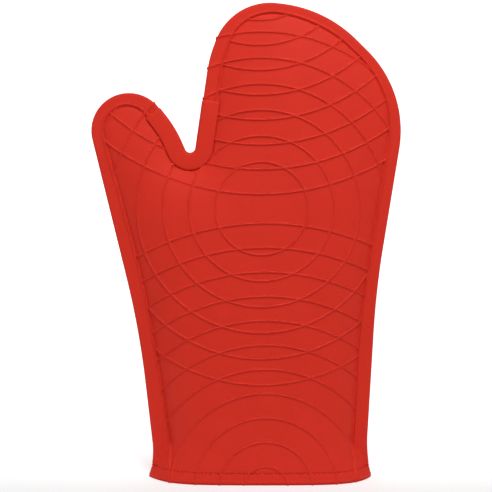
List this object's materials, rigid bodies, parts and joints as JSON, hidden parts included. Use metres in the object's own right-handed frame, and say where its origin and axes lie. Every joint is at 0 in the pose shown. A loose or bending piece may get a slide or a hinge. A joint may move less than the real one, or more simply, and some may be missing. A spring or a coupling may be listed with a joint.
{
  "type": "oven mitt",
  "caption": "Silicone oven mitt with moulded concentric ribs, a bonded rim, a crotch guard and a padded cotton liner; fingers and thumb flex towards the palm.",
  "frame": {"origin": "centre of the bounding box on the plane of the open cuff", "axes": "+Z from the cuff to the fingertips, -Y out of the palm face, -X towards the thumb"},
  "size_m": [0.2125, 0.05, 0.3252],
  "materials": {
    "silicone": "satin moulded silicone, raised ribs",
    "guard": "smooth satin silicone strip",
    "wadding": "needled cotton batting",
    "lining": "quilted cotton twill",
    "tape": "woven cotton tape",
    "thread": "polyester thread"
  },
  "bodies": {
    "hand": {"cuff_tape": "tape", "palm_stitches": "thread", "back_stitches": "thread", "seam_tape_hand": "tape", "crotch_guard_hand": "guard", "palm_shell_hand": "silicone", "back_shell_hand": "silicone", "palm_wadding_hand": "wadding", "back_wadding_hand": "wadding", "palm_lining_hand": "lining", "back_lining_hand": "lining"},
    "fingers": {"seam_tape_fingers": "tape", "crotch_guard_fingers": "guard", "palm_shell_fingers": "silicone", "back_shell_fingers": "silicone", "palm_wadding_fingers": "wadding", "back_wadding_fingers": "wadding", "palm_lining_fingers": "lining", "back_lining_fingers": "lining"},
    "thumb": {"seam_tape_thumb": "tape", "crotch_guard_thumb": "guard", "palm_shell_thumb": "silicone", "back_shell_thumb": "silicone", "palm_wadding_thumb": "wadding", "back_wadding_thumb": "wadding", "palm_lining_thumb": "lining", "back_lining_thumb": "lining"}
  },
  "joints": [
    {"name": "finger_flex", "type": "hinge", "parent": "hand", "child": "fingers", "pos_m": [0.035, -0.01613, 0.242], "axis": [1, 0, 0], "range_deg": [0, 60], "stiffness_Nm_per_rad": 0.3},
    {"name": "thumb_flex", "type": "hinge", "parent": "hand", "child": "thumb", "pos_m": [-0.04844, -0.01646, 0.23305], "axis": [0.7429, 0.0245, 0.6689], "range_deg": [0, 45], "stiffness_Nm_per_rad": 0.15}
  ]
}
